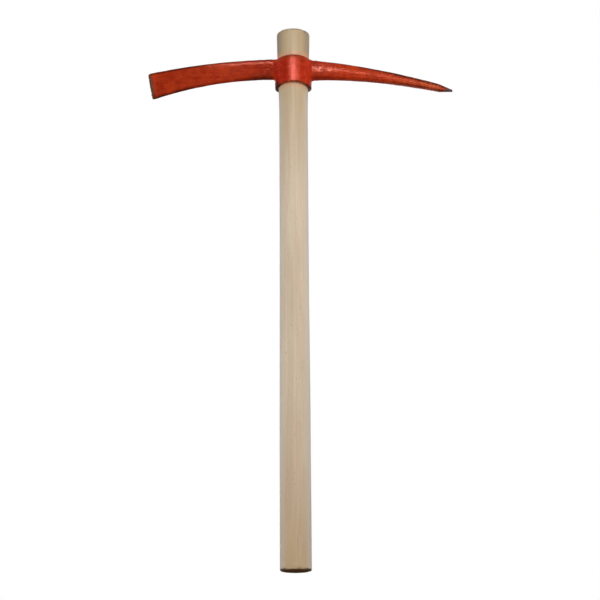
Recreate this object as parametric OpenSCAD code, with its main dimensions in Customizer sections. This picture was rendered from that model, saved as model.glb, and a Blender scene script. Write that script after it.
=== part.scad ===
// Slip-on pick axe in millimetres: butt of the handle at the origin, handle along +Z.
// The point of the head looks along +X and its blade along -X.

/* [Handle] */
// Length from the butt to the crown
handle_length = 900; // [820:5:1000]
// Width of the tapered end at the crown, measured in line with the arms
crown_width = 56; // [54.5:0.1:59]
// Width that the tapered end loses in 100 mm of length
taper_per_100 = 6.86; // [5:0.02:8]
// Narrowest width of the shaft
waist_width = 46.9; // [43:0.1:47.4]
// Width of the grip at the butt
butt_width = 49.2; // [46:0.1:49.4]
// Length over which the grip swells from the waist
grip_length = 560; // [400:5:640]
// Depth of the oval section as a share of its width
oval_ratio = 0.87; // [0.8:0.01:0.98]
// Rounding of the edge of the crown
crown_round = 5.6; // [2:0.1:8]
// Chamfer of the edge of the butt
butt_chamfer = 2.6; // [0.6:0.1:3]

/* [Eye] */
// Length of the handle that stands above the eye
crown_rise = 49.6; // [30:0.1:60]
// Height of the collar around the eye
eye_height = 48.2; // [42:0.1:60]
// Thickness of the wall of the collar
eye_wall = 5.6; // [4:0.1:7]
// Gap between the handle and the wall of the eye
eye_gap = 0.36; // [0.35:0.01:0.6]
// Gap left when the butt passes through the eye
pass_gap = 0.36; // [0.35:0.01:0.8]
// Rounding of the rims of the collar
rim_round = 1.6; // [0.6:0.1:2]

/* [Blade arm] */
// Reach of the middle of the cutting edge from the axis of the handle
blade_reach = 237.5; // [190:0.5:260]
// Height of the arm at the collar
blade_root_height = 33.4; // [26:0.1:36]
// Height of the arm at the cutting edge
blade_edge_height = 46.2; // [36:0.1:60]
// Thickness of the arm at the collar
blade_root_thick = 24; // [16:0.5:28]
// Thickness of the blade where its bevel starts
blade_thick = 5; // [4:0.1:8]
// Thickness left at the cutting edge
blade_edge_thick = 2; // [1.2:0.1:3]
// Length of the bevel behind the cutting edge
blade_bevel = 12; // [6:0.5:20]
// Fall of the middle of the arm from the collar to the edge
blade_drop = 29.3; // [10:0.1:45]
// Lean of the cutting edge from the line of the handle, in degrees
blade_slant = 9.5; // [0:0.5:16]
// Distance of the arm below the top of the collar
blade_step = 0.5; // [0.3:0.1:3]

/* [Point arm] */
// Reach of the point from the axis of the handle
point_reach = 263.6; // [210:0.1:290]
// Height of the arm at the collar
point_root_height = 34.8; // [26:0.1:36]
// Height of the arm where the point starts
point_neck_height = 12; // [8:0.1:16]
// Thickness of the arm at the collar
point_root_thick = 24; // [16:0.5:28]
// Thickness of the arm where the point starts
point_neck_thick = 11.2; // [8:0.1:16]
// Length of the ground four-sided point
point_length = 22; // [14:0.5:40]
// Thickness left at the end of the point
point_end_thick = 2; // [1.2:0.1:4]
// Height left at the end of the point
point_end_height = 3.6; // [1.2:0.1:5]
// Fall of the middle of the arm from the collar to the point
point_drop = 31.5; // [10:0.1:45]
// Further fall along the point itself
point_dip = 4.8; // [0:0.1:6]
// Distance of the arm below the top of the collar
point_step = 2.1; // [0.3:0.1:6]

/* [Forging] */
// Radius of the fillets where the arms leave the collar
neck_fillet = 5.5; // [3:0.5:9]
// Rounding of the long edges at the collar
root_round = 5.5; // [3:0.1:8]
// Rounding of the long edges at the ends
end_round = 1.6; // [0.8:0.1:2.2]

/* [Hidden] */
$fn = 96;
eye_top = handle_length - crown_rise;
eye_bottom = eye_top - eye_height;
taper = taper_per_100 / 100;
function cone_w(z) = crown_width - taper * (handle_length - z);
function eye_w(z) = cone_w(z) + 2 * eye_gap;
eye_min_w = eye_w(eye_bottom);
waist_w = min(waist_width, eye_min_w - 2 * pass_gap);
butt_w = min(butt_width, eye_min_w - 2 * pass_gap);
taper_start = handle_length - (crown_width - waist_w) / taper;
wall_ratio = (eye_min_w * oval_ratio + 2 * eye_wall) / (eye_min_w + 2 * eye_wall);
collar_top_r = eye_w(eye_top) / 2 + eye_wall;
collar_bottom_r = eye_min_w / 2 + eye_wall;
collar_mid_r = (collar_top_r + collar_bottom_r) / 2;
root_x = collar_mid_r - eye_wall / 2;
arm_steps = 22;
corner_steps = 4;
shaft_steps = 9;
blend_half = 24;

function smooth(u) = u * u * (3 - 2 * u);
function clamp01(u) = max(0, min(1, u));
function mix(a, b, u) = a + (b - a) * u;

// Width of the grip and the shaft at a height
function shaft_w(z) = mix(waist_w, butt_w, smooth(clamp01((grip_length - z) / (grip_length - 90))));

// Half outline of the handle, from the middle of the butt to the middle of the crown
function handle_outline() = concat(
  [[0, 0], [butt_w / 2 - butt_chamfer, 0], [butt_w / 2, butt_chamfer]],
  [for (i = [0:shaft_steps])
    let (z = mix(90, grip_length, i / shaft_steps))
    [shaft_w(z) / 2, z]],
  [for (i = [0:4])
    let (d = blend_half * (2 * i / 4 - 1))
    [(waist_w + taper * pow(d + blend_half, 2) / (4 * blend_half)) / 2, taper_start + d]],
  [for (i = [0:5])
    let (a = 18 * i)
    let (z = handle_length - crown_round)
    [cone_w(z) / 2 - crown_round * (1 - cos(a)), z + crown_round * sin(a)]],
  [[0, handle_length]]
);

// Half outline of the collar with rounded rims
function collar_outline() = concat(
  [[0, eye_bottom]],
  [for (i = [0:4])
    let (a = -90 + 22.5 * i)
    [collar_bottom_r - rim_round * (1 - cos(a)), eye_bottom + rim_round * (1 + sin(a))]],
  [for (i = [0:4])
    let (a = 22.5 * i)
    [collar_top_r - rim_round * (1 - cos(a)), eye_top - rim_round * (1 - sin(a))]],
  [[0, eye_top]]
);

// Oval solid from half an outline, as two halves that meet on the middle plane
module oval(outline, ratio) {
  for (i = [0:1])
    scale([1, ratio, 1])
      rotate([0, 0, 180 * i])
        rotate_extrude(angle = 180)
          polygon(outline);
}

// Rounded section in the YZ plane about a middle height
function section(h, t, r, zc) = [
  for (q = [0:3])
    for (i = [0:corner_steps])
      let (a = 90 * q + 90 * i / corner_steps)
      let (sy = (q == 0 || q == 3) ? 1 : -1)
      let (sz = (q < 2) ? 1 : -1)
      [sy * (t / 2 - r) + r * cos(a), zc + sz * (h / 2 - r) + r * sin(a)]
];

// Growth of a section inside a fillet, by the distance from where the fillet starts
function fillet(d) = neck_fillet - sqrt(pow(neck_fillet, 2) - pow(max(0, min(d, 0.97 * neck_fillet)), 2));

// Fillets above and below an arm, and on its sides where the oval collar curves away
function rise(x) = fillet(collar_mid_r + neck_fillet - x);
function flare(x, t) =
  let (side_x = collar_mid_r * sqrt(1 - pow(t / 2 / (collar_mid_r * wall_ratio), 2)))
  fillet(side_x + 0.6 * neck_fillet - x);

// Distance along an arm for a step, with closer steps near the collar
function arm_x(i, reach) = mix(root_x, reach, pow(i / arm_steps, 1.45));

// One ring of the blade arm
function blade_ring(x) =
  let (s = clamp01((x - root_x) / (blade_reach - root_x)))
  let (e = clamp01((x - blade_reach + blade_bevel) / blade_bevel))
  let (body_s = clamp01((x - root_x) / (blade_reach - blade_bevel - root_x)))
  let (h = mix(blade_root_height, blade_edge_height, pow(s, 2.6)))
  let (body = mix(blade_root_thick, blade_thick, body_s))
  let (t = mix(body, blade_edge_thick, e) + 2 * flare(x, blade_root_thick))
  let (mid = eye_top - blade_step - blade_root_height / 2 - blade_drop * s * s)
  let (top = min(mid + h / 2 + rise(x), eye_top - blade_step))
  let (bot = mid - h / 2 - rise(x))
  let (r = min(mix(root_round, end_round, s), 0.45 * t))
  [for (p = section(top - bot, t, r, (top + bot) / 2))
    [-x - (p[1] - mid) * tan(blade_slant) * s, p[0], p[1]]];

// One ring of the point arm
function point_ring(x) =
  let (neck_x = point_reach - point_length)
  let (s = clamp01((x - root_x) / (neck_x - root_x)))
  let (e = clamp01((x - neck_x) / point_length))
  let (h = mix(mix(point_root_height, point_neck_height, pow(s, 0.75)), point_end_height, e))
  let (body = mix(point_root_thick, point_neck_thick, s))
  let (t = mix(body, point_end_thick, e) + 2 * flare(x, point_root_thick))
  let (fall = point_drop * pow(s, 1.7) + point_dip * e)
  let (mid = eye_top - point_step - point_root_height / 2 - fall)
  let (top = min(mid + h / 2 + rise(x), eye_top - 0.3))
  let (bot = mid - h / 2 - rise(x))
  let (r = min(mix(root_round, end_round, s), 0.45 * t, 0.45 * (top - bot)))
  [for (p = section(top - bot, t, r, (top + bot) / 2)) [x, p[0], p[1]]];

// Solid skin over a list of rings; flip turns its faces for a list that runs to -X
module skin(rings, flip) {
  m = len(rings[0]);
  n = len(rings);
  side = [
    for (j = [0:n - 2])
      for (i = [0:m - 1])
        let (a = j * m + i)
        let (b = j * m + (i + 1) % m)
        for (f = [[a, a + m, b], [b, a + m, b + m]])
          flip ? [f[0], f[2], f[1]] : f
  ];
  first = [for (i = [0:m - 1]) flip ? m - 1 - i : i];
  last = [for (i = [0:m - 1]) (n - 1) * m + (flip ? i : m - 1 - i)];
  polyhedron(points = [for (r = rings) each r], faces = concat(side, [first, last]), convexity = 6);
}

module blade_arm() {
  bevel_x = blade_reach - blade_bevel;
  xs = concat([for (i = [0:arm_steps]) arm_x(i, bevel_x)], [blade_reach]);
  skin([for (x = xs) blade_ring(x)], true);
}

module point_arm() {
  neck_x = point_reach - point_length;
  xs = concat([for (i = [0:arm_steps]) arm_x(i, neck_x)], [point_reach]);
  skin([for (x = xs) point_ring(x)], false);
}

// Oval tapered hole that the handle fills
module eye_hole() {
  over = 5;
  oval([
    [0, eye_bottom - over],
    [eye_w(eye_bottom - over) / 2, eye_bottom - over],
    [eye_w(eye_top + over) / 2, eye_top + over],
    [0, eye_top + over]
  ], oval_ratio);
}

// Turned and flattened shaft, thicker at the crown so that the head jams on it
module handle() {
  color([0.72, 0.58, 0.42])
    oval(handle_outline(), oval_ratio);
}

// Forged head: collar with a blade on one side and a point on the other
module pick_head() {
  color([0.66, 0.16, 0.08])
    difference() {
      union() {
        oval(collar_outline(), wall_ratio);
        blade_arm();
        point_arm();
      }
      eye_hole();
    }
}

handle();
pick_head();
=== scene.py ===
"""Looks of a slip-on pick axe: enamelled forged head, raw beech handle, white studio."""

import itertools
import math
from types import SimpleNamespace

import bpy
import numpy as np
from mathutils import Matrix, Vector


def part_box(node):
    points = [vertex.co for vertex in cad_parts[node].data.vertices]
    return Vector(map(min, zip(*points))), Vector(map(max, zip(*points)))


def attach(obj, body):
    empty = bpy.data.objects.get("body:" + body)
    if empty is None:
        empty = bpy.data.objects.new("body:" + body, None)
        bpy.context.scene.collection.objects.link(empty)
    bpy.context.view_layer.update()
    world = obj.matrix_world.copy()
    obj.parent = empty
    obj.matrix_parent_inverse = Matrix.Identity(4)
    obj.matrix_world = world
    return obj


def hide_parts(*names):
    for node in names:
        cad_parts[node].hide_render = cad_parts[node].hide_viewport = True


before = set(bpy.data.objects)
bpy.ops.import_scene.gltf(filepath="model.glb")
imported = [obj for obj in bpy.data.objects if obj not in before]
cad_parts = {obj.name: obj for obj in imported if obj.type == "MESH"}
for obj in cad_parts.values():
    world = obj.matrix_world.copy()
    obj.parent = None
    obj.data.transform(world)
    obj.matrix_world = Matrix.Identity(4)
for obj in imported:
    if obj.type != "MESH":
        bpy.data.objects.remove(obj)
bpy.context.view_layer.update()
MM = 0.001


# Sizes from the frame, in millimetres

def top_corner(node):
    """Highest corner of a solid."""
    return [round(value / MM, 3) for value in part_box(node)[1]]


LENGTH = top_corner("handle")[2]
POINT_REACH, _, EYE_TOP = top_corner("pick_head")

# Sizes that the solids have too, in millimetres
CROWN_W, TAPER = 56.0, 0.0686
WAIST_W, BUTT_W = 46.9, 49.2
GRIP_LENGTH, GRIP_FLAT = 560.0, 90.0
OVAL = 0.87
CROWN_ROUND, BUTT_CHAMFER = 5.6, 2.6
BLEND = 24.0
TAPER_START = LENGTH - (CROWN_W - WAIST_W) / TAPER
EYE_HEIGHT = 48.2
EYE_BOTTOM = EYE_TOP - EYE_HEIGHT
WALL, EYE_GAP, RIM = 5.6, 0.36, 1.6
BLADE = dict(reach=237.5, root_h=33.4, edge_h=46.2, root_t=24.0, thick=5.0, edge_t=2.0,
             bevel=12.0, drop=29.3, slant=math.tan(math.radians(9.5)), step=0.5)
POINT = dict(reach=POINT_REACH, root_h=34.8, neck_h=12.0, root_t=24.0, neck_t=11.2,
             length=22.0, end_t=2.0, end_h=3.6, drop=31.5, dip=4.8, step=2.1)

# Small forms and bare ends that only this scene has, in millimetres
CROWN_WEAR = 1.2
LOWER_TRIM = 0.5
FILLET = 3.4
RIM_SOFT = 4.2
RIM_DIP, RIM_DIP_LOW = 3.4, 4.8
EYE_SOFT, TOP_SOFT, END_SOFT = 0.9, 1.0, 0.5
ARM_START = 4.0
COLLAR_HALF = 34.0
BLADE_CORNER = 4.2
EDGE_BARE, TIP_BARE = 4.9, 11.0
RIDGE_BACK = 8.0
# Rounding of the long edges at the collar and at the end, for the lower and the upper half of an arm
BLADE_ROUNDS = ((8.0, 2.2), (4.6, 1.3))
POINT_ROUNDS = ((7.0, 2.4), (5.0, 1.5))

# Form of the arms' flanks, as shares: the roll of the lower and the upper half, the lean at the collar
# and at the end, and the place of the shoulder between the middle (0) and the top (1)
BLADE_ROLLS, BLADE_LEANS, BLADE_SHOULDER = (0.12, 0.4), (0.23, 0.02), 0.35
POINT_ROLLS, POINT_LEANS, POINT_SHOULDER = (0.3, 0.28), (0.11, 0.04), -0.1
POINT_ROLL_END = 0.12
UNDER_START = 0.1

# Grid of the head's mesh, in millimetres
GRID_LOW, GRID_HIGH = (-245.0, -31.4, 776.5), (266.4, 31.4, 853.2)
GRID_STEP = (1.15, 0.85, 0.85)
GRID_PARTS = 24
CELL_CORNERS = [np.array(corner) for corner in itertools.product((0, 1), repeat=3)]


def cone_w(z):
    """Width of the tapered end of the handle at a height."""
    return CROWN_W - TAPER * (LENGTH - z)


def eye_r(z):
    """Half width of the eye at a height."""
    return cone_w(z) / 2 + EYE_GAP


EYE_MIN_W = 2 * eye_r(EYE_BOTTOM)
WALL_RATIO = (EYE_MIN_W * OVAL + 2 * WALL) / (EYE_MIN_W + 2 * WALL)
COLLAR_TOP_R = eye_r(EYE_TOP) + WALL
COLLAR_BOTTOM_R = eye_r(EYE_BOTTOM) + WALL - LOWER_TRIM
ROOT_X = (COLLAR_TOP_R + COLLAR_BOTTOM_R) / 2 - WALL / 2


# Noise and field helpers

def mix(a, b, u):
    return a + (b - a) * u


def clip01(u):
    return np.clip(u, 0.0, 1.0)


def smooth(u):
    u = clip01(u)
    return u * u * (3 - 2 * u)


def part(value, start, end):
    """Goes evenly from 0 to 1 while the value goes from start to end."""
    return clip01((value - start) / (end - start))


def ramp(value, start, end):
    """Goes softly from 0 to 1 while the value goes from start to end."""
    return smooth((value - start) / (end - start))


def unit(vectors):
    """Vectors of the same directions with the length 1."""
    return vectors / np.maximum(np.linalg.norm(vectors, axis=1, keepdims=True), 1e-6)


def cell_value(i, j, k, seed):
    """Fixed value from -1 to 1 for one corner of a noise cell, by mixing the bits of its place."""
    word, fraction, stir = 0xFFFFFFFF, 0xFFFFFF, 1274126177
    h = (i * 374761393 + j * 668265263 + k * 1442695041 + seed * stir) & word
    h = ((h ^ (h >> 13)) * stir) & word
    return ((h ^ (h >> 16)) & fraction) / fraction * 2 - 1


def noise(p, seed):
    """Smooth value noise from -1 to 1 at the points p, with cells of size 1."""
    base = np.floor(p).astype(np.int64)
    f = p - base
    u = f * f * (3 - 2 * f)
    total = np.zeros(len(p))
    for corner in CELL_CORNERS:
        weight = np.where(corner, u, 1 - u)
        i, j, k = (base + corner).T
        total += weight[:, 0] * weight[:, 1] * weight[:, 2] * cell_value(i, j, k, seed)
    return total


def union_round(a, b, r):
    """Field of two bodies together, with a fillet between them."""
    u, v = np.maximum(r - a, 0), np.maximum(r - b, 0)
    return np.maximum(r, np.minimum(a, b)) - np.sqrt(u * u + v * v)


def both_round(a, b, r):
    """Field of what lies in two bodies at once, with a rounded edge."""
    u, v = np.maximum(r + a, 0), np.maximum(r + b, 0)
    return np.minimum(-r, np.maximum(a, b)) + np.sqrt(u * u + v * v)


def oval_gap(x, y, a, b):
    """About the distance from an oval with the half axes a and b, cut off deep inside it."""
    f = (x / a) ** 2 + (y / b) ** 2 - 1
    g = 2 * np.sqrt((x / a ** 2) ** 2 + (y / b ** 2) ** 2) + 1e-4
    return np.maximum(f / g, -40.0)


def section_gap(y, w, half_t, half_h, rounds, rolls, lean, shoulder):
    """Distance from a rounded section whose flanks lean in downwards and roll over at the shoulder."""
    u = np.clip(w / half_h, -1.1, 1.1)
    over = np.maximum(u - shoulder, 0) / (1 - shoulder)
    under = np.maximum(-u - UNDER_START, 0) / (1 - UNDER_START)
    t = half_t * (1 - rolls[0] * under ** 2 - rolls[1] * over ** 2) + lean * (u - shoulder) * half_h
    # The lower rounding goes over into the upper one about the middle, and both fit in the thickness
    corner = np.minimum(mix(rounds[0], rounds[1], smooth(0.5 + 0.8 * u)), 0.95 * t)
    qy = np.abs(y) - (t - corner)
    qz = np.abs(w) - (half_h - corner)
    outer = np.sqrt(np.maximum(qy, 0) ** 2 + np.maximum(qz, 0) ** 2)
    return outer + np.minimum(np.maximum(qy, qz), 0) - corner


def gradient(field, p, h):
    """Slope of a field at the points p, from samples at the distance h."""
    slope = np.empty_like(p)
    for axis, step in enumerate(np.eye(3) * h):
        slope[:, axis] = (field(p + step) - field(p - step)) / (2 * h)
    return slope


# Mesh of a field

def net_points(f, cells):
    """Mean place of the cuts along the edges of each cell, in steps of the grid."""
    place, weight = np.zeros((len(cells), 3)), np.zeros(len(cells))
    for a in CELL_CORNERS:
        for axis in np.flatnonzero(a == 0):
            b = a.copy()
            b[axis] = 1
            fa, fb = f[tuple((cells + a).T)], f[tuple((cells + b).T)]
            cut = (fa < 0) != (fb < 0)
            t = np.where(cut, fa / np.where(cut, fa - fb, 1), 0)
            place += cut[:, None] * (cells + a + t[:, None] * (b - a))
            weight += cut
    return place / weight[:, None]


def net_quads(inside, number):
    """One quad around each edge of the grid that goes through the surface."""
    quads = []
    for axis in range(3):
        near, far = [slice(None)] * 3, [slice(None)] * 3
        near[axis], far[axis] = slice(None, -1), slice(1, None)
        first, second = inside[tuple(near)], inside[tuple(far)]
        u, v = (axis + 1) % 3, (axis + 2) % 3
        du, dv = np.eye(3, dtype=np.int64)[[u, v]]
        for leaves in (True, False):
            edges = np.argwhere((first & ~second) if leaves else (~first & second))
            edges = edges[(edges[:, u] > 0) & (edges[:, v] > 0)]
            ring = [edges - du - dv, edges - dv, edges, edges - du]
            corners = np.stack([number[tuple(r.T)] for r in ring], 1)
            quads.append(corners if leaves else corners[:, ::-1])
    return np.concatenate(quads, 0)


def surface_net(field, low, high, step):
    """Closed quad mesh on the zero level of a field, sampled on a box grid."""
    axes = [np.arange(a, b + s, s) for a, b, s in zip(low, high, step)]
    grid = np.stack(np.meshgrid(*axes, indexing="ij"), -1)
    f = np.concatenate([field(part) for part in np.array_split(grid, GRID_PARTS)], 0)
    inside = f < 0
    lower, upper = slice(None, -1), slice(1, None)
    count = sum(inside[tuple(upper if c else lower for c in corner)].astype(np.int8)
                for corner in CELL_CORNERS)
    cells = np.argwhere((count > 0) & (count < len(CELL_CORNERS)))
    number = np.full(count.shape, -1, np.int64)
    number[tuple(cells.T)] = np.arange(len(cells))
    verts = np.array(low) + net_points(f, cells) * np.array(step)
    return verts, net_quads(inside, number)


def relax(field, verts, quads, rounds):
    """Evens out the points of a mesh and puts each one back on the level of the field."""
    sample, least_slope, most_move = 0.06, 0.2, 0.6
    ends = np.concatenate([quads[:, [i, (i + 1) % 4]] for i in range(4)], 0)
    for _ in range(rounds):
        total, count = np.zeros_like(verts), np.zeros(len(verts))
        for a, b in ((0, 1), (1, 0)):
            for axis in range(3):
                total[:, axis] += np.bincount(ends[:, a], verts[ends[:, b], axis], len(verts))
            count += np.bincount(ends[:, a], minlength=len(verts))
        verts = mix(verts, total / count[:, None], 0.5)
        for _ in range(2):
            slope = gradient(field, verts, sample)
            length = np.maximum((slope * slope).sum(1), least_slope)
            verts = verts - (np.clip(field(verts), -most_move, most_move) / length)[:, None] * slope
    return verts


def new_mesh(name, verts, faces, values):
    """Smooth object from points in millimetres, with a value for each point under each name."""
    mesh = bpy.data.meshes.new(name)
    mesh.from_pydata((verts * MM).tolist(), [], [list(map(int, face)) for face in faces])
    mesh.validate()
    mesh.polygons.foreach_set("use_smooth", [True] * len(mesh.polygons))
    for key, data in values.items():
        layer = mesh.attributes.new(key, "FLOAT", "POINT")
        layer.data.foreach_set("value", np.asarray(data, np.float32))
    mesh.update()
    piece = bpy.data.objects.new(name, mesh)
    bpy.context.scene.collection.objects.link(piece)
    return piece


# Forged head as a distance field

def blade_middle(s):
    return EYE_TOP - BLADE["step"] - BLADE["root_h"] / 2 - BLADE["drop"] * s * s


def blade_share(along):
    return part(along, ROOT_X, BLADE["reach"])


def blade_along(x, z):
    """Distance along the blade arm square to its leaning edge, its share, and the arm's middle height."""
    s = blade_share(-x)
    along = -x - (z - blade_middle(s)) * BLADE["slant"] * s
    s = blade_share(along)
    return along, s, blade_middle(s)


def blade_height(s):
    return mix(BLADE["root_h"], BLADE["edge_h"], s ** 2.6)


def blade_gap(x, y, z):
    b = BLADE
    along, s, mid = blade_along(x, z)
    past_end = along - b["reach"]
    e = part(past_end, -b["bevel"], 0.0)
    body = part(along, ROOT_X, b["reach"] - b["bevel"])
    h = blade_height(s)
    t = mix(mix(b["root_t"], b["thick"], body), b["edge_t"], e)
    rounds = [np.minimum(mix(root, tip, s ** 0.8), 0.46 * t) for root, tip in BLADE_ROUNDS]
    rolls = [mix(most, 0.0, smooth(s * 1.3 - 0.15)) for most in BLADE_ROLLS]
    lean = mix(*BLADE_LEANS, smooth(s))
    gap = section_gap(y, z - mid, t / 2, h / 2, rounds, rolls, lean, BLADE_SHOULDER)
    end = both_round(np.abs(z - mid) - h / 2, past_end, BLADE_CORNER)
    gap = both_round(np.maximum(gap, end), past_end, END_SOFT)
    return np.maximum(gap, x + ARM_START)


def point_parts(x):
    """Shares of the way along the point arm and along its ground tip, and the arm's middle height."""
    p = POINT
    neck = p["reach"] - p["length"]
    s = part(x, ROOT_X, neck)
    e = part(x, neck, p["reach"])
    mid = EYE_TOP - p["step"] - p["root_h"] / 2 - p["drop"] * s ** 1.7 - p["dip"] * e
    return s, e, mid


def point_height(s, e):
    return mix(mix(POINT["root_h"], POINT["neck_h"], s ** 0.75), POINT["end_h"], e)


def point_gap(x, y, z):
    p = POINT
    s, e, mid = point_parts(x)
    h = point_height(s, e)
    t = mix(mix(p["root_t"], p["neck_t"], s), p["end_t"], e)
    most = 0.42 * np.minimum(t, h)
    rounds = [np.minimum(mix(root, tip, s ** 0.7), most) for root, tip in POINT_ROUNDS]
    rolls = [mix(root, POINT_ROLL_END, s) * (1 - e) for root in POINT_ROLLS]
    lean = mix(*POINT_LEANS, s) * (1 - e)
    gap = section_gap(y, z - mid, t / 2, h / 2, rounds, rolls, lean, POINT_SHOULDER)
    return np.maximum(both_round(gap, x - p["reach"], END_SOFT), ARM_START - x)


def rim_z(x, middle, dip):
    """Height of a rim of the collar, which falls towards the arms."""
    return middle - dip * np.minimum((x / COLLAR_TOP_R) ** 2, 1.0)


def head_gap(q):
    """Distance field of the head: collar and arms with fillets between them, less the eye."""
    x, y, z = q[..., 0], q[..., 1], q[..., 2]
    up = part(z, EYE_BOTTOM, EYE_TOP)
    outer = mix(COLLAR_BOTTOM_R, COLLAR_TOP_R, up)
    height = np.maximum(z - rim_z(x, EYE_TOP, RIM_DIP), rim_z(x, EYE_BOTTOM, RIM_DIP_LOW) - z)
    d = both_round(oval_gap(x, y, outer, outer * WALL_RATIO), height, mix(RIM, RIM_SOFT, up))
    for arm in (blade_gap, point_gap):
        d = union_round(d, arm(x, y, z), FILLET)
    d = both_round(d, z - EYE_TOP, TOP_SOFT)
    inner = eye_r(z)
    return both_round(d, -oval_gap(x, y, inner, inner * OVAL), EYE_SOFT)


# Wear, paint and painted shade of the head, worked out at each point of the smooth form

def survey(verts):
    """Places, slopes and bends that the wear, the paint and the painted shade go by."""
    x, y, z = verts.T
    step = 1.6
    bend = sum(head_gap(verts + d) + head_gap(verts - d) for d in np.eye(3) * step)
    inner = eye_r(z)
    along, blade_s, blade_mid = blade_along(x, z)
    point_s, point_e, point_mid = point_parts(x)
    return SimpleNamespace(
        at=verts, x=x, y=y, z=z, out=np.abs(x), along=along,
        normal=unit(gradient(head_gap, verts, 0.3)),
        bend=(bend - 6 * head_gap(verts)) / step ** 2,
        in_eye=ramp(oval_gap(x, y, inner, inner * OVAL), 2.5, 0.0),
        half=np.where(x < 0, blade_height(blade_s), point_height(point_s, point_e)) / 2,
        mid=np.where(x < 0, blade_mid, point_mid),
        below_top=rim_z(x, EYE_TOP, RIM_DIP) - z,
        above_low=z - rim_z(x, EYE_BOTTOM, RIM_DIP_LOW),
    )


def worn_and_shaded_edges(s):
    """Long edges of the arms and the top of the collar, darkened as painted shade, where the enamel also
    wears first.
    """
    rim = s.half - np.abs(s.z - s.mid)
    band = mix(2.6, np.where(s.x < 0, 4.4, 6.6), ramp(s.out, 80, 190))
    upper = ramp(rim / band, 1.3, 0.3) * ramp(s.out, 30, 38)
    # The lower edge gets no painted shadow on the middle of the blade arm and on the outer part of the point
    # arm
    share = np.where(s.x < 0, 0.9 * ramp(np.abs(s.x + 125), 10, 60), 0.5 * ramp(s.x, 85, 55))
    lower = share * ramp(rim, 6.5, 0.0) * ramp(s.out, 31, 36)
    worn_and_shaded = np.where(s.z > s.mid, upper, lower)
    # Faces that look up or down get little of it, only the edges beside them darken
    worn_and_shaded = worn_and_shaded * (1 - 0.85 * ramp(np.abs(s.normal[:, 2]), 0.8, 0.97))
    # Painted dark line along the top of the upper rim, clearest towards the point
    line = ramp(s.below_top, 3.2, 2.0) * ramp(s.out, 31, 25)
    line = line * mix(0.15, np.where(s.x > 0, 0.8, 0.4), ramp(s.out, 0, 14))
    return np.maximum(worn_and_shaded, line)


def bare_ends(s):
    """Bare steel at the cutting edge and at the tip of the point, with uneven limits."""
    edge = s.along - (BLADE["reach"] - EDGE_BARE + 1.0 * noise(s.at / 5.0, 11))
    tip = (s.x - (POINT["reach"] - TIP_BARE + 3.0 * noise(s.at / 4.0, 12))) * 0.24
    return ramp(np.maximum(edge, tip), -0.8, 0.8)


def relief(s, bare):
    """Height of the forged surface over the smooth one, in millimetres."""
    # Scale pits and hammer waves under the enamel, rougher beside the collar
    wave = 0.16 * noise(s.at / 17.0, 1) + 0.10 * noise(s.at / 7.5, 2) + 0.045 * noise(s.at / 3.4, 3)
    near_neck = np.exp(-((s.out - 42.0) / 16.0) ** 2)
    wave += near_neck * (0.26 * noise(s.at / (4.6, 4.2, 3.6), 4) + 0.28 * noise(s.at / 2.4, 5))
    # Trimmed seam of the forging dies along the top and the underside of the arms
    seam = np.exp(-(s.y / 1.3) ** 2) * (np.abs(s.normal[:, 2]) > 0.6) * (s.out > COLLAR_HALF)
    seam = seam * (1 - bare) * (0.22 + 0.1 * noise(s.at / 9.0, 6))
    # Small nicks in the cutting edge and the tip
    nick = bare * np.maximum(noise(s.at / 3.1, 7) - 0.35, 0) * -0.55
    return (wave * (1 - 0.8 * bare) + seam + nick) * (1 - s.in_eye)


def scale_and_painted_shade(s, under, shaded_rim_sides):
    """Bare scale inside the eye, and painted shade under and beside the collar and under the blade arm, with
    a dark corner at the cutting edge.
    """
    # Bare scale in the eye, which also darkens the inner lower rim beside the arms as painted shade
    in_eye = smooth(s.in_eye * 1.5 - 0.3) * mix(1, shaded_rim_sides, under)
    # Painted shade on the sides of the collar below the arms, deeper on the blade's side
    sides = ramp(s.out, 21, 26) * ramp(s.z - EYE_BOTTOM, 8.5, 3.5) * (s.out < COLLAR_HALF)
    sides = sides * mix(0.85, 0.22, ramp(s.x, 0, 12))
    # Painted shade on the underside and lower half of the blade arm beside the collar
    belly = ramp(s.normal[:, 2], -0.62, -0.92) * ramp(s.x, -92, -62) * ramp(s.x, -33, -39)
    low_half = ramp((s.mid - s.z) / s.half, 0.1, 1.1)
    lower_half_shade = low_half * ramp(s.x, -76, -54) * ramp(s.x, -31, -37)
    # Dark corner at the bottom of the cutting edge
    corner = np.hypot(s.along - BLADE["reach"], s.z - s.mid + s.half)
    dark_corner = ramp(corner, 6.075, 1.575)
    return np.maximum.reduce([in_eye, 0.9 * under * shaded_rim_sides, sides, 0.7 * belly, 0.36 * lower_half_shade, 0.85 * dark_corner])


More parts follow.
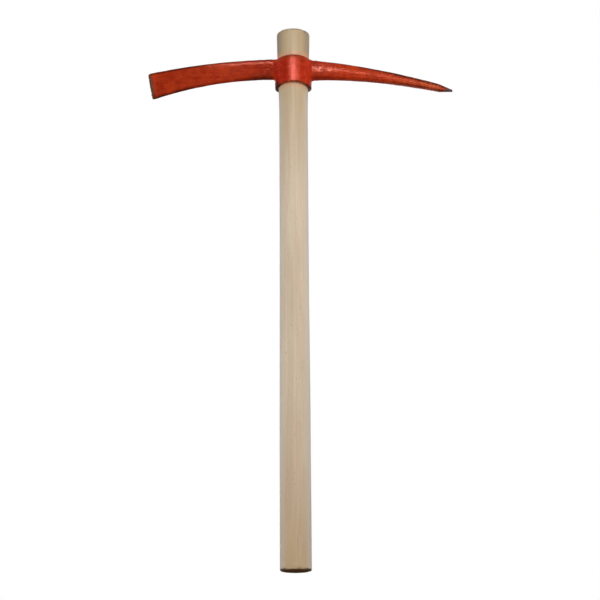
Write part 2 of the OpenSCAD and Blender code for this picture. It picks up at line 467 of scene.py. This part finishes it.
def build_head():
    verts, quads = surface_net(head_gap, GRID_LOW, GRID_HIGH, GRID_STEP)
    verts = relax(head_gap, verts, quads, rounds=3)
    s = survey(verts)
    bare = bare_ends(s)
    # Painted shade on the lower rim beside the arms, weaker on the point's side
    shaded_rim_sides = ramp(s.out, 16, 25) * mix(1.0, 0.7, ramp(s.x, 0, 12))
    under = ramp(s.above_low, 1.5, 0.6) * (s.out < COLLAR_HALF)
    forged = verts + s.normal * relief(s, bare)[:, None]
    return new_mesh("pick_head_forged", forged, quads, {
        "bare": bare,
        # The scale attribute carries bare scale and painted shade
        "scale": scale_and_painted_shade(s, under, shaded_rim_sides),
        "edge": clip01(s.bend * 1.5 - 0.15),
        "cavity": clip01(-s.bend * 2.2 - 0.05),
        "worn_and_shaded": worn_and_shaded_edges(s),
        "ridge": np.exp(-((s.along - BLADE["reach"] + RIDGE_BACK) / 2.0) ** 2) * (s.x < 0),
        "top": ramp(s.normal[:, 2], 0.55, 0.85),
        # Bands for painted shade on the collar's rounded top rim and painted light on the front of its lower
        # rim
        "upper_rim": ramp(s.below_top, 10.5, 6.5) * ramp(s.out, 30, 20),
        "lower_rim": under * (1 - shaded_rim_sides),
    })


# Turned handle

AROUND = 112
SHAFT_STEP = 3.6
BUTT_RINGS = (0.12, 0.28, 0.45, 0.62, 0.78, 0.9, 1.0)
CROWN_RINGS = (0.92, 0.8, 0.66, 0.5, 0.34, 0.18)
# Knocks on the crown and on the edge of the butt, in millimetres: place, size and depth
KNOCKS = (
    ((18.5, -16.5, 897), 3.2, 1.5),
    ((-22, -11, 896), 3.0, 0.5),
    ((5, 22, 897.5), 4.0, 0.6),
    ((-14, 19, 897), 2.6, 0.7),
    ((25.5, -9, 873), 3.4, 0.6),
    ((21, 9, 2), 3.2, 0.6),
    ((-18, -15, 1.5), 3.6, 0.5),
    ((6, -20.5, 1), 2.4, 0.4),
)


def shaft_w(z):
    """Width of the handle at a height."""
    grip = mix(WAIST_W, BUTT_W, ramp(z, GRIP_LENGTH, GRIP_FLAT))
    d = z - TAPER_START
    bend = WAIST_W + TAPER * (d + BLEND) ** 2 / (4 * BLEND)
    # The crown above the eye is worn to a slighter taper
    cone = cone_w(z) - CROWN_WEAR * np.maximum(z - EYE_TOP, 0) / (LENGTH - EYE_TOP)
    return np.where(d <= -BLEND, grip, np.where(d >= BLEND, cone, bend))


def handle_profile():
    """Half width, height and share of end grain for each ring, from the butt to the crown."""
    flat = BUTT_W / 2 - BUTT_CHAMFER
    profile = [(u * flat, 0.0, 1.0) for u in BUTT_RINGS]
    for a in (30, 60, 90):
        c = math.radians(a)
        r = BUTT_W / 2 - BUTT_CHAMFER * (1 - math.sin(c))
        profile.append((r, BUTT_CHAMFER * (1 - math.cos(c)), 0.6 - a / 180))
    top = LENGTH - CROWN_ROUND
    for z in np.arange(5.0, top - 1, SHAFT_STEP):
        profile.append((float(shaft_w(z)) / 2, float(z), 0.0))
    for a in np.linspace(0, 90, 11):
        c = math.radians(a)
        r = float(shaft_w(top)) / 2 - CROWN_ROUND * (1 - math.cos(c))
        profile.append((r, top + CROWN_ROUND * math.sin(c), a / 90))
    rim = profile[-1][0]
    profile += [(u * rim, LENGTH, 1.0) for u in CROWN_RINGS]
    return profile


def tube_faces(rings):
    """Quads between rings of points, and a face over each end."""
    faces = []
    for j in range(rings - 1):
        low, high = j * AROUND, (j + 1) * AROUND
        for i in range(AROUND):
            k = (i + 1) % AROUND
            faces.append((low + i, low + k, high + k, high + i))
    last = (rings - 1) * AROUND
    faces.append(range(AROUND)[::-1])
    faces.append(range(last, last + AROUND))
    return faces


def build_handle():
    profile = handle_profile()
    radius, height, end = (np.array(column)[:, None] for column in zip(*profile))
    theta = np.arange(AROUND) * 2 * math.pi / AROUND
    rows = (radius * np.cos(theta), radius * np.sin(theta) * OVAL, np.repeat(height, AROUND, 1))
    verts = np.stack(rows, -1).reshape(-1, 3)
    end = np.repeat(end, AROUND)
    out = unit(verts * np.array((1, 1 / OVAL ** 2, 0)))
    # Slow waves left by turning and sanding, none where the eye sits
    free = 1 - ramp(verts[:, 2], 770, 795) * ramp(verts[:, 2], 872, 860)
    wave = 0.16 * noise(verts / (14.0, 14.0, 90.0), 21) + 0.05 * noise(verts / (5.0, 5.0, 40.0), 22)
    verts += out * (wave * free * (end < 0.9))[:, None]
    dent = np.zeros(len(verts))
    for place, size, depth in KNOCKS:
        hit = np.exp(-(np.linalg.norm(verts - np.array(place), axis=1) / size) ** 2)
        dent = np.maximum(dent, hit * min(depth, 1.0))
        lift = 0.7 if place[2] > LENGTH / 2 else -0.7
        verts -= (hit * depth)[:, None] * (out + (0, 0, lift))
    verts[:, 2] = np.clip(verts[:, 2], 0, LENGTH)
    return new_mesh("handle_turned", verts, tube_faces(len(profile)), {"endgrain": end, "dent": dent})


# Node helpers

def srgb(*rgb):
    """Colour for a shader from screen values of 0 to 255."""
    def linear(c):
        return c / 12.92 if c <= 0.04045 else ((c + 0.055) / 1.055) ** 2.4
    return (*(linear(c / 255) for c in rgb), 1.0)


def grey(value):
    return (value, value, value, 1.0)


class Nodes:
    """Short way to write the shader tree of a material or a world."""

    def __init__(self, owner):
        owner.use_nodes = True
        self.owner = owner
        self.tree = owner.node_tree
        self.tree.nodes.clear()

    def put(self, socket, value):
        if isinstance(value, bpy.types.NodeSocket):
            self.tree.links.new(value, socket)
        else:
            socket.default_value = value

    def add(self, kind, inputs=None, **settings):
        node = self.tree.nodes.new("ShaderNode" + kind)
        for key, value in settings.items():
            setattr(node, key, value)
        for key, value in (inputs or {}).items():
            self.put(node.inputs[key], value)
        return node

    def first(self, kind, inputs=None, **settings):
        return self.add(kind, inputs, **settings).outputs[0]

    def place(self):
        return self.add("TexCoord").outputs["Object"]

    def value(self, name):
        return self.add("Attribute", attribute_name=name).outputs["Fac"]

    def math(self, operation, *values):
        return self.first("Math", dict(enumerate(values)), operation=operation)

    def times(self, a, b):
        return self.math("MULTIPLY", a, b)

    def plus(self, a, b):
        return self.math("ADD", a, b)

    def minus(self, a, b):
        return self.math("SUBTRACT", a, b)

    def most(self, a, b):
        return self.math("MAXIMUM", a, b)

    def vector(self, operation, a, b):
        return self.first("VectorMath", {0: a, 1: b}, operation=operation)

    def span(self, value, start, end, low=0.0, high=1.0):
        """Goes softly from low to high while the value goes from start to end."""
        inputs = {0: value, 1: start, 2: end, 3: low, 4: high}
        return self.first("MapRange", inputs, interpolation_type="SMOOTHSTEP")

    def band(self, value, start, full, still_full, end):
        """Rises softly to 1 from start to full and falls again from still_full to end."""
        return self.times(self.span(value, start, full), self.span(value, end, still_full))

    def noise(self, vector, scale, detail=2.0, rough=0.5):
        inputs = {"Vector": vector, "Scale": scale, "Detail": detail, "Roughness": rough}
        return self.first("TexNoise", inputs)

    def streaks(self, vector, per_metre, detail=2.0, rough=0.5):
        """Noise with its own number of cells per metre along each axis."""
        return self.noise(self.vector("MULTIPLY", vector, per_metre), 1.0, detail, rough)

    def mix(self, share, a, b):
        return self.add("Mix", {0: share, 6: a, 7: b}, data_type="RGBA").outputs[2]

    def layers(self, colour, *layers):
        """Screen colours laid over a first colour, each with its share."""
        for share, over in layers:
            colour = self.mix(share, colour, srgb(*over))
        return colour

    def glow(self, colour, strength):
        return self.first("Emission", {0: colour, 1: strength})

    def blend(self, share, a, b):
        return self.first("MixShader", {0: share, 1: a, 2: b})

    def seen(self):
        """1 where the camera looks, straight or by way of a reflection or glass, and 0 for diffuse light."""
        path = self.add("LightPath").outputs
        mirrored = self.most(path["Is Glossy Ray"], path["Is Transmission Ray"])
        return self.most(path["Is Camera Ray"], mirrored)

    def done(self, shader, kind="OutputMaterial"):
        self.add(kind, {0: shader})
        return self.owner


# Red enamel; all places are in metres

ARMS_FROM, ARMS_FULL = 0.026, 0.036


def coat_red(t, at, side, out, patch, fine):
    """Reds of the coat before it wears."""
    broad = t.noise(at, 26.0, 3.0)
    streak = t.streaks(at, (45.0, 260.0, 260.0), 3.0)
    red = t.mix(t.span(broad, 0.34, 0.66), srgb(146, 30, 4), srgb(177, 50, 9))
    # Lighter towards the point as painted light from the right, and more orange along both arms
    red = t.mix(t.span(side, -0.02, 0.04, 0.0, 0.6), red, srgb(198, 54, 20))
    arms = t.mix(t.span(side, -0.01, 0.01), srgb(166, 56, 28), srgb(182, 67, 34))
    red = t.mix(t.span(out, 0.05, 0.17, 0.0, 0.55), red, arms)
    # The collar is painted lighter on the point's side too
    collar = t.mix(t.span(side, -0.005, 0.01), srgb(177, 34, 16), srgb(186, 44, 14))
    red = t.mix(t.span(out, ARMS_FROM, ARMS_FULL, 0.7, 0.0), red, collar)
    return t.layers(
        red,
        # Thin brown coat on the last third of the point
        (t.span(side, 0.15, 0.235, 0.0, 0.6), (188, 86, 48)),
        # Light and dark streaks, patches and specks
        (t.span(streak, 0.5, 0.72, 0.0, 0.55), (190, 62, 24)),
        (t.span(streak, 0.48, 0.27, 0.0, 0.5), (136, 28, 8)),
        (t.span(patch, 0.4, 0.68, 0.0, 0.55), (136, 26, 8)),
        (t.span(fine, 0.62, 0.8, 0.0, 0.12), (206, 84, 50)),
        # Dirt and painted shade in hollows, painted shade on the collar's rounded top rim, painted light on
        # the front of its lower rim, and a lighter line behind the bevel
        (t.times(t.value("cavity"), 0.6), (104, 22, 12)),
        (t.times(t.value("upper_rim"), 0.45), (142, 64, 34)),
        (t.times(t.value("lower_rim"), 0.75), (238, 128, 74)),
        (t.times(t.value("ridge"), 0.16), (206, 92, 70)),
    )


def thin_coat_and_edge_shade(t, at, edge, patch):
    """Share of enamel that is rubbed thin on the sharp edges, and of painted shade along the long edges."""
    sharp = t.times(t.span(edge, 0.1, 0.5), t.span(patch, 0.25, 0.6, 0.35, 0.95))
    broken = t.span(t.noise(at, 170.0, 4.0, 0.65), 0.36, 0.54, 0.3, 1.0)
    return t.most(sharp, t.times(t.value("worn_and_shaded"), broken))


def rusty_steel(t, at, rust):
    scratch = t.streaks(at, (300.0, 2400.0, 700.0), 3.0)
    steel = t.mix(t.span(scratch, 0.3, 0.7), srgb(54, 40, 42), srgb(96, 82, 86))
    return t.mix(rust, steel, srgb(100, 56, 20))


def coat_shine(t, side, out):
    """Tint of the highlights: the thicker coat of the collar has a whiter shine than the arms."""
    blade = t.mix(t.span(side, -0.15, -0.1), (0.34, 0.1, 0.05, 1.0), (0.76, 0.34, 0.26, 1.0))
    point = t.mix(t.span(side, 0.05, 0.1), (0.92, 0.62, 0.5, 1.0), (0.6, 0.31, 0.23, 1.0))
    arms = t.mix(t.span(side, -0.01, 0.01), blade, point)
    tint = t.mix(t.span(out, ARMS_FROM, ARMS_FULL), (1.0, 0.4, 0.32, 1.0), arms)
    return t.mix(t.times(t.value("upper_rim"), 0.85), tint, (0.12, 0.06, 0.04, 1.0))


def enamel():
    t = Nodes(bpy.data.materials.new("red_enamel"))
    at = t.place()
    side = t.first("SeparateXYZ", {0: at})
    out = t.math("ABSOLUTE", side)
    # The scale attribute holds bare scale in the eye and painted shade under and beside the collar and the
    # blade arm
    edge, scale = t.value("edge"), t.value("scale")
    patch = t.noise(at, 110.0, 3.0, 0.55)
    fine = t.noise(at, 900.0, 3.0, 0.6)
    red = coat_red(t, at, side, out, patch, fine)
    # Rubbed edges and painted shade along the long edges turn near black
    red = t.mix(t.times(thin_coat_and_edge_shade(t, at, edge, patch), 0.92), red, srgb(50, 12, 7))
    # Chips on the edges show the steel, as the bare ends do
    chip = t.times(edge, t.span(t.noise(at, 420.0, 4.0, 0.65), 0.52, 0.66))
    chip = t.most(t.value("bare"), t.span(chip, 0.35, 0.75))
    # Rust is thick at the cutting edge and thin at the tip
    rust = t.span(t.noise(at, 160.0, 4.0, 0.6), 0.36, 0.6, 0.35, 0.9)
    rust = t.times(rust, t.span(side, 0.01, -0.01, 0.12, 1.0))
    colour = t.mix(chip, red, rusty_steel(t, at, rust))
    # Near black for bare scale and for painted shade
    scale_and_shade_colour = t.mix(t.noise(at, 500.0, 3.0, 0.6), srgb(20, 14, 12), srgb(48, 36, 30))
    rough = t.plus(t.span(patch, 0.3, 0.7, 0.18, 0.24), t.span(fine, 0.4, 0.7, 0.0, 0.05))
    rough = t.plus(rough, t.times(chip, t.math("MULTIPLY_ADD", rust, 0.35, 0.1)))
    # Dust dulls the faces that look up
    rough = t.most(rough, t.times(t.value("top"), 0.85))
    peel = t.plus(t.noise(at, 330.0), t.times(t.noise(at, 1100.0), 0.25))
    peel = t.minus(peel, t.times(chip, 0.5))
    return t.done(t.first("BsdfPrincipled", {
        "Base Color": t.mix(scale, colour, scale_and_shade_colour),
        "Roughness": t.plus(rough, t.times(scale, 0.5)),
        "Metallic": t.times(chip, t.math("MULTIPLY_ADD", rust, -0.55, 0.55)),
        "Specular IOR Level": 0.13,
        "Specular Tint": coat_shine(t, side, out),
        "Normal": t.first("Bump", {"Strength": 0.16, "Distance": 0.0005, "Height": peel}),
    }))


# Raw beech; all places are in metres

PITH_X, PITH_Y = 0.021, 0.062
RINGS_PER_METRE = 330.0
# Heights where the red beside the eye's rims, a painted reflection of the collar with some rub, and the
# streaks from its wall start, are full, and end
LOW_RUB_AND_REFLECTION = (0.790, 0.802, 0.805, 0.814)
HIGH_RUB_AND_REFLECTION = (0.842, 0.850, 0.853, 0.862)
EYE_SEAT = (0.801, 0.806, 0.847, 0.852)


def growth_rings(t, at, x, y, warp):
    """Dark late wood of the rings, about a pith that lies outside the handle."""
    px, py = t.plus(x, PITH_X), t.plus(y, PITH_Y)
    r = t.math("SQRT", t.plus(t.times(px, px), t.times(py, py)))
    r = t.plus(r, t.times(warp, 0.013))
    r = t.plus(r, t.times(t.streaks(at, (45.0, 45.0, 4.0)), 0.0016))
    ring = t.math("FRACT", t.times(r, RINGS_PER_METRE))
    return t.band(ring, 0.35, 0.95, 0.955, 1.0)


def drifted(t, at):
    """Place of the fibres, which drift sideways along the handle."""
    slow = t.vector("MULTIPLY", at, (16.0, 16.0, 4.0))
    drift = t.add("TexNoise", {"Vector": slow, "Scale": 1.0, "Detail": 2.0}).outputs["Color"]
    drift = t.vector("SUBTRACT", drift, (0.5, 0.5, 0.5))
    return t.vector("ADD", at, t.vector("MULTIPLY", drift, (0.014, 0.014, 0.0)))


def clean_wood(t, grain, fibre, late, ray):
    tone = t.streaks(grain, (34.0, 34.0, 6.0), 3.0)
    hue = t.streaks(grain, (75.0, 75.0, 9.0))
    return t.layers(
        t.mix(t.span(tone, 0.3, 0.7), srgb(204, 185, 160), srgb(218, 201, 177)),
        (t.span(hue, 0.4, 0.66, 0.0, 0.45), (211, 183, 159)),
        (t.span(hue, 0.5, 0.28, 0.0, 0.4), (207, 191, 155)),
        (t.times(late, 0.15), (180, 156, 124)),
        (t.span(fibre, 0.56, 0.8, 0.0, 0.34), (168, 140, 110)),
        (ray, (150, 116, 90)),
    )


def used_wood(t, colour, at, out, z, end, strand, grip, crown):
    """Stains, rubbing, dirt and painted light and shade over the clean wood."""
    # Strands of brown stain, strongest where hands and the head wear the wood
    stain = t.math("MULTIPLY_ADD", t.most(grip, crown), 0.3, 0.14)
    stain = t.times(stain, t.span(strand, 0.44, 0.7))
    # Greyer sides of the crown, and narrow sides of the shaft greyed as a painted sheen
    crown_grey_sides = t.times(t.span(z, 0.846, 0.862), t.span(strand, 0.3, 0.58, 0.3, 1.0))
    crown_grey_sides = t.times(t.span(out, 0.013, 0.0255), crown_grey_sides)
    sides = t.times(t.span(out, 0.012, 0.022, 0.0, 0.5), t.span(z, 0.81, 0.77))
    # Red beside the eye's rims, a painted reflection of the collar with some red rubbed off, and streaks
    # from the eye's wall between them
    red = t.most(t.band(z, *LOW_RUB_AND_REFLECTION), t.band(z, *HIGH_RUB_AND_REFLECTION))
    red = t.times(red, t.span(strand, 0.3, 0.65, 0.2, 0.38))
    scrape = t.streaks(at, (800.0, 800.0, 14.0), 3.0)
    seat = t.times(t.band(z, *EYE_SEAT), t.span(scrape, 0.4, 0.75, 0.08, 0.34))
    # Darker rounded edge of the crown, and painted shade on the sides of the butt's edge
    crown_edge = t.times(t.span(end, 0.1, 0.45), t.span(z, 0.86, 0.88))
    butt_edge_shade = t.times(t.span(z, 0.0034, 0.0018), t.span(out, 0.010, 0.02))
    return t.layers(
        colour,
        (stain, (184, 152, 122)),
        (t.times(grip, 0.6), (174, 142, 96)),
        (t.times(crown, 0.85), (173, 148, 107)),
        (t.times(crown_grey_sides, 0.78), (128, 117, 104)),
        (t.times(t.value("dent"), 0.6), (104, 88, 70)),
        (sides, (200, 193, 185)),
        (red, (232, 126, 94)),
        (seat, (172, 96, 66)),
        (t.times(crown_edge, 0.5), (116, 102, 88)),
        (t.times(butt_edge_shade, 0.85), (52, 38, 28)),
    )


def beech():
    t = Nodes(bpy.data.materials.new("beech"))
    at = t.place()
    x, y, z = t.add("SeparateXYZ", {0: at}).outputs
    end = t.value("endgrain")
    warp = t.streaks(at, (9.0, 9.0, 1.6))
    late = growth_rings(t, at, x, y, warp)
    grain = drifted(t, at)
    fibre = t.streaks(grain, (1500.0, 1500.0, 24.0), 3.0, 0.6)
    strand = t.streaks(grain, (230.0, 230.0, 8.0), 3.0, 0.55)
    # Short dark rays of beech
    ray = t.span(t.streaks(at, (620.0, 620.0, 165.0), 1.0), 0.67, 0.74, 0.0, 0.34)
    # Grip and crown are a little darker, from handling and as painted shade of the light falling off towards
    # both ends
    level = t.plus(z, t.times(warp, 0.1))
    grip, crown = t.span(level, 0.30, 0.03), t.span(level, 0.62, 0.9)
    colour = clean_wood(t, grain, fibre, late, ray)
    colour = used_wood(t, colour, at, t.math("ABSOLUTE", x), z, end, strand, grip, crown)
    # Sawn ends with open pores
    pore = t.noise(at, 1500.0, 2.0, 0.6)
    sawn = t.mix(t.span(pore, 0.4, 0.66), srgb(148, 116, 82), srgb(190, 162, 126))
    sawn = t.mix(t.times(late, 0.5), sawn, srgb(132, 98, 66))
    height = t.plus(t.times(fibre, 0.6), t.times(strand, 0.5))
    height = t.minus(height, t.times(ray, 0.5))
    height = t.minus(height, t.times(t.times(pore, end), 1.5))
    rough = t.plus(t.span(strand, 0.3, 0.7, 0.62, 0.74), t.times(grip, -0.08))
    return t.done(t.first("BsdfPrincipled", {
        "Base Color": t.mix(t.span(end, 0.35, 0.85), colour, sawn),
        "Roughness": t.most(rough, end),
        "Specular IOR Level": 0.3,
        "Sheen Weight": 0.12,
        "Sheen Roughness": 0.4,
        "Sheen Tint": (0.8, 0.9, 1.0, 1.0),
        "Normal": t.first("Bump", {"Strength": 0.45, "Distance": 0.0004, "Height": height}),
    }))


# The two pieces

head = build_head()
head.data.materials.append(enamel())
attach(head, "head")
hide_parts("pick_head")

handle = build_handle()
handle.data.materials.append(beech())
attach(handle, "handle")
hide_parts("handle")


# Studio, in metres

FLOOR_HALF, FLOOR_DROP = 9.0, 0.0006
WORLD_LIGHT = 0.22


def floor_material():
    """Soft grey round the butt, a painted contact shadow, that turns white far off, dim for diffuse light,
    and clear from below.
    """
    t = Nodes(bpy.data.materials.new("floor"))
    away = t.add("VectorMath", {0: t.place()}, operation="LENGTH").outputs["Value"]
    # The floor under the butt glows warm for diffuse rays, a painted glow that lights the butt's end
    butt_glow = t.glow((1.0, 0.62, 0.36, 1.0), t.span(away, 0.05, 0.02, 0.0, 0.09))
    dim = t.first("AddShader", {0: t.first("BsdfDiffuse", {0: grey(0.10)}), 1: butt_glow})
    # Its glow is weaker near the butt, a painted contact shadow
    soft = t.glow(grey(1.0), t.span(away, 0.01, 0.12, 0.07, 0.4))
    pale = t.first("AddShader", {0: t.first("BsdfDiffuse", {0: grey(0.5)}), 1: soft})
    sweep = t.blend(t.span(away, 0.25, 1.3), pale, t.glow(grey(1.0), 1.0))
    above = t.blend(t.seen(), dim, sweep)
    # The camera of the photograph is lower than the butt and looks up through this floor
    from_below = t.add("NewGeometry").outputs["Backfacing"]
    return t.done(t.blend(from_below, above, t.first("BsdfTransparent")))


def build_floor():
    mesh = bpy.data.meshes.new("floor")
    corners = [(-1, -1), (1, -1), (1, 1), (-1, 1)]
    mesh.from_pydata([(x * FLOOR_HALF, y * FLOOR_HALF, 0) for x, y in corners], [], [(0, 1, 2, 3)])
    mesh.materials.append(floor_material())
    sheet = bpy.data.objects.new("floor", mesh)
    sheet.location.z = -FLOOR_DROP
    bpy.context.scene.collection.objects.link(sheet)
    return sheet


def build_world():
    """White to the eye, and a weak even light on the object."""
    t = Nodes(bpy.data.worlds.new("studio"))
    light, white = (t.first("Background", {0: grey(1.0), 1: power}) for power in (WORLD_LIGHT, 1.0))
    return t.done(t.blend(t.seen(), light, white), "OutputWorld")


def area(name, at, aim, size, power, gloss=True, fill=True, shape="RECTANGLE"):
    """Lamp that the camera doesn't see; gloss and fill say whether it makes highlights and diffuse light."""
    data = bpy.data.lights.new(name, "AREA")
    data.shape = shape
    data.size, data.size_y = size
    data.energy = power
    lamp = bpy.data.objects.new(name, data)
    lamp.location = at
    lamp.rotation_mode = "QUATERNION"
    lamp.rotation_quaternion = (Vector(aim) - Vector(at)).to_track_quat("-Z", "Y")
    lamp.visible_camera = False
    lamp.visible_glossy = gloss
    lamp.visible_diffuse = fill
    bpy.context.scene.collection.objects.link(lamp)


floor = build_floor()
bpy.context.scene.world = build_world()

area("front", (0.0, -1.6, 0.55), (0, 0, 0.5), (2.2, 0.7), 14.5, gloss=False)
area("left", (-1.8, -0.7, 0.3), (0, 0, 0.4), (0.8, 0.8), 18.0, gloss=False)
area("right", (1.8, -0.7, 1.15), (0, 0, 0.7), (0.8, 0.8), 24.0, gloss=False)
area("back", (-0.5, 2.6, 1.0), (0, 0, 0.5), (1.6, 1.6), 34.0)
# Three ovals, one over the other, make the soft strip of light on the collar
for name, x, width, power in (("shine", -0.003, 0.19, 1.15),
                              ("shine_wide", -0.035, 0.36, 1.15),
                              ("shine_mid", 0.01, 0.28, 1.05)):
    area(name, (x, -0.46, 0.962), (0, 0, 0.82), (width, 0.085), power, fill=False, shape="ELLIPSE")
# Highlights on the two arms
area("shine_left", (-0.105, -0.5, 1.11), (-0.07, 0, 0.83), (0.16, 0.08), 3.1, fill=False)
area("shine_right", (0.22, -0.5, 0.975), (0.05, 0, 0.82), (0.26, 0.09), 1.3, fill=False)


# Camera of the photograph, fitted to the handle's ends and the rims of the collar

PIXELS, FOCAL_PIXELS, SENSOR_MM = 600.0, 1859.0, 36.0
CAMERA_AT = (0.0, -2.849, -0.424)
PITCH, YAW, ROLL = math.radians(16.765), math.radians(0.178), math.radians(-0.358)


def build_camera():
    forward = Vector((math.sin(YAW) * math.cos(PITCH), math.cos(YAW) * math.cos(PITCH), math.sin(PITCH)))
    level = Vector((math.cos(YAW), -math.sin(YAW), 0))
    upright = level.cross(forward)
    right = math.cos(ROLL) * level + math.sin(ROLL) * upright
    up = math.cos(ROLL) * upright - math.sin(ROLL) * level
    data = bpy.data.cameras.new("camera")
    data.sensor_width = SENSOR_MM
    data.lens = FOCAL_PIXELS / PIXELS * SENSOR_MM
    camera = bpy.data.objects.new("camera", data)
    turn = Matrix((right, up, -forward)).transposed()
    camera.matrix_world = Matrix.Translation(CAMERA_AT) @ turn.to_4x4()
    bpy.context.scene.collection.objects.link(camera)
    return camera


bpy.context.scene.camera = build_camera()
bpy.context.scene.view_settings.view_transform = "Standard"

bpy.context.view_layer.update()
